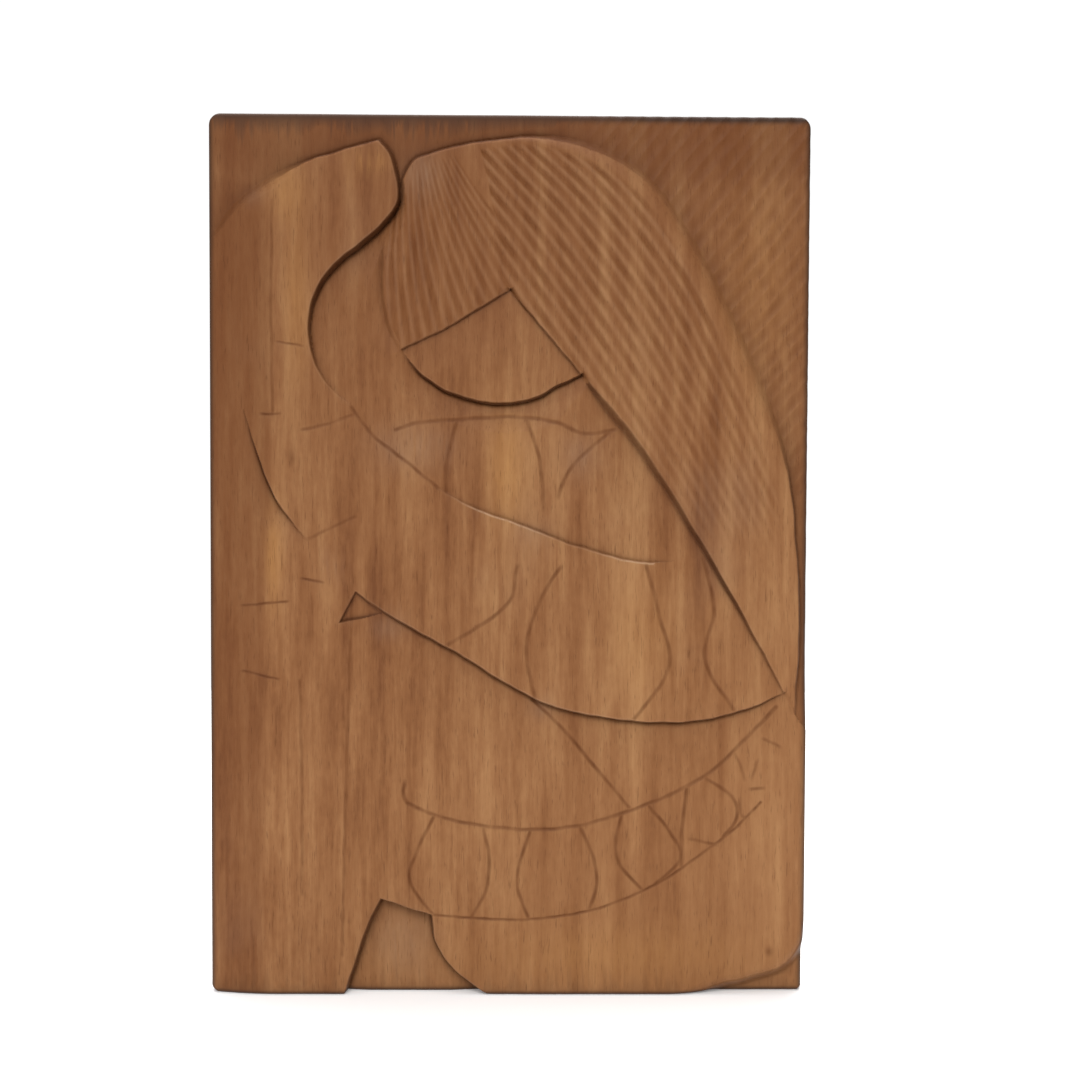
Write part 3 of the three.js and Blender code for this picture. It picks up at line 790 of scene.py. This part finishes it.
def carve():
    """Heights above the back over the whole grid, and the marks that colour the wood.

    The walls and sinkings are combined by taking the lowest, and each one's painted shade and stain at the
    foot, and wear and painted highlight at the arris, count where it is not cut away by another. Incised
    lines and combed hair are then taken off whatever surface they cross, and the front arris is a quarter
    circle below the local surface.
    """
    x, y = GRID_X, GRID_Y
    roll, over = roll_off()
    *ground, ground_gap, facet = ground_cut()
    cuts = [cut_wall(*wall) for wall in WALLS] + [ground, leg_gap_cut(), seat_cut(), notch_cut()]
    height = np.minimum.reduce([roll] + [cut[0] for cut in cuts])
    # Painted shade with stain at the walls' feet, and wear with painted highlight at their arrises, where
    # not cut away
    shade_and_stain = np.maximum.reduce([cut[1] * (cut[0] < height + HIDDEN_BY) for cut in cuts])
    wear = np.maximum.reduce([cut[2] * (cut[0] < height + HIDDEN_BY) for cut in cuts])
    depth = -height

    # A board this size is never quite flat, and the scraper leaves shallow hollows along the grain
    height = height - WARP_LEVEL - WARP_HEIGHT * waves(x, y, BOARD_WARP, "warp")
    height = height - SCRAPER_HEIGHT * (1 + waves(x, y, SCRAPER, "scraper"))

    relief = height.copy()
    lines = OUTLINES + [(c, CREASE_LINE) for c in CREASES] + [(c, FAINT_LINE) for c in HEM_TAIL_CUTS]
    lines += [(c, GRAIN_LINE) for c in GRAIN_LINES]
    lines += [
        (ornament_line(upper, lower, *stroke), cut)
        for upper, lower, cut, strokes in ORNAMENT_BANDS
        for stroke in strokes
    ]
    # Incised lines get painted shade with stain in their grooves; knots are the wood's own dark
    dark = spots(KNOTS)
    for curve, cut in lines:
        groove, shade = incise(curve, cut)
        height = np.minimum(height, relief - groove)
        dark = np.maximum(dark, shade)
    # Combed hair: painted shade in the grooves, painted highlight on the ridges
    locks = np.zeros(x.shape)
    for mask, part in zip(hair_masks(-ground_gap), (FRINGE, LONG_HAIR)):
        groove, shade, ridge = combing(mask, *part)
        height = height - groove
        locks = np.maximum(locks, shade)
        wear = np.maximum(wear, RIDGE_HIGHLIGHT * ridge)

    corner_x = np.maximum(np.abs(x) - (HALF_WIDTH - FRONT_ARRIS), 0)
    corner_y = np.maximum(np.abs(y) - (HALF_HEIGHT - FRONT_ARRIS), 0)
    beyond = np.minimum(np.hypot(corner_x, corner_y), FRONT_ARRIS)
    height = height - FRONT_ARRIS + np.sqrt(FRONT_ARRIS ** 2 - beyond ** 2)

    # Marks that colour the wood: painted shade with stain in incised lines and at the walls' feet, painted
    # shade in the hair's grooves, wear with painted highlight on arrises and ridges, dark edges, painted
    # shade with darker patches over the roll and in recesses, and golden and greyish patches
    marks = {
        "cut": dark, "locks": locks, "foot": shade_and_stain, "wear": wear, "rim": edge_rim(),
        "dusk": shade_and_tone_marks(over, ground_gap, depth, facet),
        "gold": spots(GOLD_SPOTS), "bloom": spots(BLOOM_SPOTS),
    }
    return THICKNESS + height, marks


def rounded(x, y):
    """Moves grid points near the corners so that the outline's corners are arcs.

    In a corner square with sides of the arc's radius, the point (a, b) in 0..1 from the arc's centre goes
    to (a sqrt(1 - b b / 2), b sqrt(1 - a a / 2)), which turns the square into a quarter disc.
    """
    x, y = x.copy(), y.copy()
    for (sx, sy), radius in CORNERS.items():
        centre_x, centre_y = sx * (HALF_WIDTH - radius), sy * (HALF_HEIGHT - radius)
        a, b = (x - centre_x) * sx / radius, (y - centre_y) * sy / radius
        inner = (a > 0) & (b > 0)
        moved_x = centre_x + sx * radius * a * np.sqrt(np.maximum(1 - b * b / 2, 0))
        moved_y = centre_y + sy * radius * b * np.sqrt(np.maximum(1 - a * a / 2, 0))
        x, y = np.where(inner, moved_x, x), np.where(inner, moved_y, y)
    return x, y


def board_mesh(height):
    """Closed mesh of the board: the carved grid, a ring down the sides, the back arris and a flat back.

    The ring runs round the grid's border; each ring below it is the same outline, drawn in by the back
    arris's quarter circle at the bottom, and the last ring closes on the middle of the back.
    """
    rows, columns = height.shape
    x, y = rounded(GRID_X, GRID_Y)
    number = np.arange(rows * columns).reshape(rows, columns)
    border = np.concatenate([number[0, :-1], number[:-1, -1], number[-1, :0:-1], number[:0:-1, 0]])
    bx, by, bh = x.ravel()[border], y.ravel()[border], height.ravel()[border]
    turn = np.linspace(0, math.pi / 2, BACK_STEPS)
    levels = [(bh + BACK_ARRIS) / 2]
    levels += [np.full(len(border), BACK_ARRIS * (1 - math.sin(a))) for a in turn]
    inset = [0.0] + [BACK_ARRIS * (1 - math.cos(a)) for a in turn]
    rings = [
        np.stack([bx * (1 - d / HALF_WIDTH), by * (1 - d / HALF_HEIGHT), level], -1)
        for d, level in zip(inset, levels)
    ]
    places = np.concatenate([np.stack([x, y, height], -1).reshape(-1, 3), *rings, [[0.0, 0.0, 0.0]]])
    quads = np.stack([number[:-1, :-1], number[:-1, 1:], number[1:, 1:], number[1:, :-1]], -1)
    quads = quads.reshape(-1, 4)
    ring = rows * columns + np.arange(len(border))
    loops = [border] + [ring + len(border) * k for k in range(len(rings))]
    sides = [np.stack([b, np.roll(b, -1), np.roll(a, -1), a], -1) for a, b in zip(loops[:-1], loops[1:])]
    quads = np.concatenate([quads, *sides])
    middle = len(places) - 1
    fan = np.stack([np.full(len(border), middle), np.roll(loops[-1], -1), loops[-1]], -1)
    metres = np.stack([places[:, 0], -places[:, 2], places[:, 1]], -1) * MM
    mesh = bpy.data.meshes.new(BOARD + "_carving")
    corners = np.concatenate([quads.ravel(), fan.ravel()]).astype(np.int32)
    sizes = np.concatenate([np.full(len(quads), 4), np.full(len(fan), 3)])
    starts = np.concatenate([[0], np.cumsum(sizes)[:-1]]).astype(np.int32)
    mesh.vertices.add(len(metres))
    mesh.vertices.foreach_set("co", metres.astype(np.float32).ravel())
    mesh.loops.add(len(corners))
    mesh.loops.foreach_set("vertex_index", corners)
    mesh.polygons.add(len(sizes))
    mesh.polygons.foreach_set("loop_start", starts)
    mesh.update(calc_edges=True)
    mesh.validate()
    return mesh


def thin_out(mesh):
    """Collapses edges where the surface is nearly flat until the wanted number of triangles is left."""
    dense = bpy.data.objects.new("dense", mesh)
    bpy.context.scene.collection.objects.link(dense)
    mesh.calc_loop_triangles()
    thin = dense.modifiers.new("thin", "DECIMATE")
    thin.ratio = TRIANGLES_KEPT / len(mesh.loop_triangles)
    graph = bpy.context.evaluated_depsgraph_get()
    kept = bpy.data.meshes.new_from_object(dense.evaluated_get(graph))
    bpy.data.objects.remove(dense)
    bpy.data.meshes.remove(mesh)
    return kept


def grid_value(values, x, y):
    """Value of a grid at any place, blended from the four grid points around it."""
    column = np.interp(x, COLUMNS, np.arange(len(COLUMNS)))
    row = np.interp(y, ROWS, np.arange(len(ROWS)))
    c, r = np.minimum(column.astype(int), len(COLUMNS) - 2), np.minimum(row.astype(int), len(ROWS) - 2)
    u, v = column - c, row - r
    lower = values[r, c] * (1 - u) + values[r, c + 1] * u
    upper = values[r + 1, c] * (1 - u) + values[r + 1, c + 1] * u
    return lower * (1 - v) + upper * v


def carved_board():
    """The finished board, thinned out, with the marks that colour it as attributes.

    For the thinning, the sharp marks stand up from the surface as a guide, so that corners stay where they
    change; the guide is taken off again afterwards.
    """
    height, marks = carve()
    guide = MARK_GUIDE * np.maximum.reduce([marks["cut"], marks["foot"], marks["wear"]])
    for half, place in ((HALF_WIDTH, GRID_X), (HALF_HEIGHT, GRID_Y)):
        guide = guide * ease((half - GUIDE_MARGIN - np.abs(place)) / GUIDE_RUN)
    mesh = thin_out(board_mesh(height - guide))
    places = np.empty(len(mesh.vertices) * 3, np.float32)
    mesh.vertices.foreach_get("co", places)
    x, depth, y = places.reshape(-1, 3).T / MM
    on_front = -depth > THICKNESS * FRONT_SHARE
    places[1::3] -= grid_value(guide, x, y) * on_front * MM
    low, high = (np.array(corner, np.float32) for corner in (low_corner, high_corner))
    places = np.clip(places.reshape(-1, 3), low, high).ravel()
    mesh.vertices.foreach_set("co", places)
    mesh.update()
    for name, values in marks.items():
        layer = mesh.attributes.new(name, "FLOAT", "POINT")
        layer.data.foreach_set("value", (grid_value(values, x, y) * on_front).astype(np.float32))
    mesh.polygons.foreach_set("use_smooth", np.ones(len(mesh.polygons), bool))
    mesh.set_sharp_from_angle(angle=math.radians(SHARP_ANGLE))
    board = bpy.data.objects.new("carved_board", mesh)
    bpy.context.scene.collection.objects.link(board)
    return board


class Flow:
    """A socket in a node tree; arithmetic on it adds Math nodes."""

    def __init__(self, tree, socket=None):
        self.tree = tree
        self.socket = socket

    def node(self, kind, settings=None, inputs=None, output=0):
        """Adds a node: its settings, then values or links for its sockets; gives one of its outputs."""
        made = self.tree.nodes.new(kind)
        for name, value in (settings or {}).items():
            if name == "stops":
                ramp_stops(made.color_ramp, value)
            else:
                setattr(made, name, value)
        for key, value in (inputs or {}).items():
            if isinstance(value, Flow):
                self.tree.links.new(value.socket, made.inputs[key])
            else:
                made.inputs[key].default_value = value
        return Flow(self.tree, made.outputs[output] if made.outputs else None)

    def math(self, operation, *values):
        return self.node("ShaderNodeMath", {"operation": operation}, dict(enumerate(values)))

    def __add__(self, other):
        return self.math("ADD", self, other)

    def __sub__(self, other):
        return self.math("SUBTRACT", self, other)

    def __rsub__(self, other):
        return self.math("SUBTRACT", other, self)

    def __mul__(self, other):
        return self.math("MULTIPLY", self, other)

    __radd__ = __add__
    __rmul__ = __mul__


def ramp_stops(colour_ramp, stops):
    """Sets a colour ramp's stops: (place, colour) pairs from low to high."""
    while len(colour_ramp.elements) < len(stops):
        colour_ramp.elements.new(1.0)
    for element, (place, colour) in zip(colour_ramp.elements, stops):
        element.position = place
        element.color = colour


def tone(red, green, blue):
    """Linear colour of a tone given as screen values from 0 to 255."""
    def linear(value):
        value = value / 255
        return value / 12.92 if value <= 0.04045 else ((value + 0.055) / 1.055) ** 2.4
    return (linear(red), linear(green), linear(blue), 1.0)


# Noises in the wood: scale across, into and along the board, detail and roughness
NOISES = {
    "sway": ((16, 16, 6), 2.0, 0.55),
    "broad": ((20, 9, 1.6), 2.0, 0.55),
    "band": ((80, 30, 8), 3.0, 0.55),
    "streak": ((260, 100, 17), 2.5, 0.55),
    "fibre": ((1100, 400, 48), 3.0, 0.6),
    "pore": ((1700, 800, 110), 2.0, 0.5),
    "cloud": ((11, 11, 7), 3.0, 0.55),
    "fleck": ((300, 300, 120), 3.0, 0.55),
    "saw": ((7, 1, 420), 2.0, 0.55),
}
SWAY = (0.006, 0.006, 0.0)

# The grain's figure: share of each noise, their mean, and how much calmer it is towards the lower right
FIGURE = {"broad": 0.8, "band": 0.85, "streak": 0.42, "fibre": 0.2, "fleck": 0.3}
FIGURE_MEAN = 1.285
FIGURE_LEVEL = 0.5
CALM = 0.4
CALM_CLOUD = 0.3
CALM_RANGE = (-0.15, 0.22)
GRAIN_TONES = [(0.20, (105, 64, 36)), (0.40, (129, 85, 51)), (0.56, (142, 98, 62)), (0.82, (164, 121, 80))]

# Where the wood darkens towards the top left, hazes, has pores, was sawn at the back, and ends
DRIFT_LEAN = 0.35
DRIFT_CLOUD = 0.14
DRIFT_RANGE = (-0.22, 0.40)
HAZE_RANGE = (0.58, 0.75)
PORE_RANGE = (0.60, 0.72)
BACK_RANGE = (-0.003, -0.0005)
ENDS_RANGE = (0.2610, 0.2648)

# Layers of tone over the grain, from the lowest up: share and tone
LAYERS = {
    "drift": (0.5, (106, 63, 35)),
    # Golden and greyish patches; in the leg gap they are painted light
    "gold": (0.5, (184, 134, 76)),
    "bloom": (0.45, (138, 112, 92)),
    "haze": (0.15, (142, 112, 88)),
    # Painted shade over the roll and in recesses, with darker patches
    "dusk": (0.55, (94, 51, 23)),
    "pores": (0.4, (80, 45, 22)),
    # Painted shade in the hair's grooves
    "locks": (0.48, (97, 52, 17)),
    # Wear with painted highlight on arrises and hair ridges
    "wear": (0.6, (186, 154, 124)),
    # Painted shade with stain in incised lines, and knots
    "cut": (1.0, (86, 45, 17)),
    # Painted shade with stain at the foot of walls
    "foot": (0.8, (58, 27, 8)),
    "rim": (0.92, (40, 32, 28)),
    "back": (0.6, (150, 112, 72)),
    "ends": (0.5, (72, 45, 28)),
}

# How rough the oiled wood is, how much it shines, and how its grain, pores and saw marks stand up
GRAIN_BUMP = 0.5
PORE_BUMP = 0.6
SAW_BUMP = 2.5
BUMP_STRENGTH = 0.22
BUMP_DISTANCE = 0.0006
ROUGHNESS = 0.5
FIBRE_ROUGHNESS = 0.16
SHINE = 0.12


def wood():
    """Oiled brown hardwood: upright grain in streaks, fine pores, painted shade with stain in cuts and
    recesses, wear with painted highlight on arrises.

    The grain's tone is a weighted sum of stretched noises through a ramp; layers of tone then lie over it,
    each as strong as its mark or its place on the board.
    """
    material = bpy.data.materials.new("carved_wood")
    material.use_nodes = True
    tree = material.node_tree
    tree.nodes.clear()
    flow = Flow(tree)
    place = flow.node("ShaderNodeTexCoord", output="Object")
    across, inward, height = (
        flow.node("ShaderNodeSeparateXYZ", inputs={0: place}, output=name) for name in ("X", "Y", "Z")
    )

    def noise(name, vector, output="Fac"):
        scale, detail, roughness = NOISES[name]
        stretched = flow.node("ShaderNodeMapping", inputs={"Vector": vector, "Scale": scale})
        return flow.node("ShaderNodeTexNoise", inputs={
            "Vector": stretched, "Scale": 1.0, "Detail": detail, "Roughness": roughness,
        }, output=output)

    def mix(factor, a, b):
        return flow.node("ShaderNodeMix", {"data_type": "RGBA"}, {0: factor, 6: a, 7: b}, 2)

    def mark(name):
        return flow.node("ShaderNodeAttribute", {"attribute_name": name}, output="Fac")

    def limited(value, start, end):
        settings = {"interpolation_type": "SMOOTHSTEP"}
        sockets = {"Value": value, "From Min": start, "From Max": end}
        return flow.node("ShaderNodeMapRange", settings, sockets)

    # The grain wavers: the place is pushed sideways by a slow noise
    sway = noise("sway", place, "Color")
    bent = flow.node("ShaderNodeVectorMath", {"operation": "MULTIPLY_ADD"}, {0: sway, 1: SWAY, 2: place})
    cloud = noise("cloud", place)
    grown = {name: noise(name, bent) for name in FIGURE}
    calm = limited(across - height - CALM_CLOUD * cloud, *CALM_RANGE)
    figure = sum(share * grown[name] for name, share in FIGURE.items()) - FIGURE_MEAN
    grain = FIGURE_LEVEL + figure * (1 - CALM * calm)
    stops = [(at, tone(*colour)) for at, colour in GRAIN_TONES]
    colour = flow.node("ShaderNodeValToRGB", {"stops": stops}, {"Fac": grain})

    worked = {
        "drift": limited(height - DRIFT_LEAN * across + DRIFT_CLOUD * cloud, *DRIFT_RANGE),
        "haze": limited(cloud, *HAZE_RANGE),
        "pores": limited(noise("pore", bent), *PORE_RANGE),
        "back": limited(inward, *BACK_RANGE),
        "ends": limited(height.math("ABSOLUTE", height), *ENDS_RANGE),
    }
    for name, (share, shade) in LAYERS.items():
        amount = worked[name] if name in worked else mark(name)
        colour = mix(amount * share, colour, tone(*shade))

    stands_up = GRAIN_BUMP * grown["fibre"] + GRAIN_BUMP * grown["streak"] - PORE_BUMP * worked["pores"]
    stands_up = stands_up + SAW_BUMP * noise("saw", place) * worked["back"]
    bump = flow.node("ShaderNodeBump", inputs={
        "Strength": BUMP_STRENGTH, "Distance": BUMP_DISTANCE, "Height": stands_up,
    })
    surface = flow.node("ShaderNodeBsdfPrincipled", inputs={
        "Base Color": colour, "Roughness": ROUGHNESS + FIBRE_ROUGHNESS * grown["fibre"], "Normal": bump,
        "Specular IOR Level": SHINE,
    })
    flow.node("ShaderNodeOutputMaterial", inputs={"Surface": surface})
    return material


# The studio, in metres: the floor, the lamps (place, aim, size and power) and the room's light
FLOOR_HALF = 1.3
FLOOR_TONE = 0.93
FLOOR_GLOW = 0.18
FLOOR_ROUGHNESS = 0.9
LAMPS = {
    "key": ((-0.4, -3.8, 3.1), (0, 0, 0), 1.9, 136),
    "over": ((0, -0.5, 1.9), (0, -0.5, 0), 1.2, 12),
    "behind": ((0, 1.0, 1.9), (0, 0.9, -0.265), 2.0, 70),
}
ROOM_LIGHT = 0.40
ROOM_SEEN_MORE = 0.65

# The camera: lens and sensor in millimetres, place in metres, and pitch, yaw and roll in degrees
LENS = 50
SENSOR = 36
CAMERA_PLACE = (0.0088, -0.9296, 0.045)
CAMERA_TURN = (-2.154, 0.629, 0.25)
WHITE = (1, 1, 1, 1)


def floor():
    """A wide pale floor under the board, with a slight glow so that it stays near white."""
    corners = [(-1, -1), (1, -1), (1, 1), (-1, 1)]
    mesh = bpy.data.meshes.new("floor")
    places = [(FLOOR_HALF * x, FLOOR_HALF * y, low_corner.z) for x, y in corners]
    mesh.from_pydata(places, [], [(0, 1, 2, 3)])
    material = bpy.data.materials.new("pale_floor")
    material.use_nodes = True
    shader = material.node_tree.nodes["Principled BSDF"]
    shader.inputs["Base Color"].default_value = (FLOOR_TONE, FLOOR_TONE, FLOOR_TONE, 1)
    shader.inputs["Emission Color"].default_value = WHITE
    shader.inputs["Emission Strength"].default_value = FLOOR_GLOW
    shader.inputs["Roughness"].default_value = FLOOR_ROUGHNESS
    mesh.materials.append(material)
    made = bpy.data.objects.new("floor", mesh)
    bpy.context.scene.collection.objects.link(made)


def lamp(name, place, aim, size, power):
    """A square soft lamp at a place, turned towards its aim."""
    light = bpy.data.lights.new(name, "AREA")
    light.size = size
    light.energy = power
    made = bpy.data.objects.new(name, light)
    made.location = place
    made.rotation_euler = (Vector(aim) - Vector(place)).to_track_quat("-Z", "Y").to_euler()
    bpy.context.scene.collection.objects.link(made)


def studio():
    """A white room that lights weakly but shows as plain white, and soft lamps round the board."""
    world = bpy.data.worlds.new("white_room")
    world.use_nodes = True
    tree = world.node_tree
    tree.nodes.clear()
    flow = Flow(tree)
    seen = flow.node("ShaderNodeLightPath", output="Is Camera Ray")
    strength = ROOM_LIGHT + ROOM_SEEN_MORE * seen
    room = flow.node("ShaderNodeBackground", inputs={"Color": WHITE, "Strength": strength})
    flow.node("ShaderNodeOutputWorld", inputs={"Surface": room})
    bpy.context.scene.world = world
    for name, setting in LAMPS.items():
        lamp(name, *setting)


def camera():
    """The photograph's view: a normal lens a little under a metre away, just above the board's middle."""
    data = bpy.data.cameras.new("camera")
    data.sensor_width = SENSOR
    data.lens = LENS
    made = bpy.data.objects.new("camera", data)
    pitch, yaw, roll = (math.radians(a) for a in CAMERA_TURN)
    turn = Matrix.Rotation(-yaw, 4, "Z") @ Matrix.Rotation(math.pi / 2 + pitch, 4, "X")
    turn = turn @ Matrix.Rotation(roll, 4, "Z")
    made.matrix_world = Matrix.Translation(CAMERA_PLACE) @ turn
    bpy.context.scene.collection.objects.link(made)
    bpy.context.scene.camera = made


board = carved_board()
board.data.materials.append(wood())
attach(board, "root")
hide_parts(BOARD)

floor()
studio()
camera()
bpy.context.scene.view_settings.view_transform = "Standard"
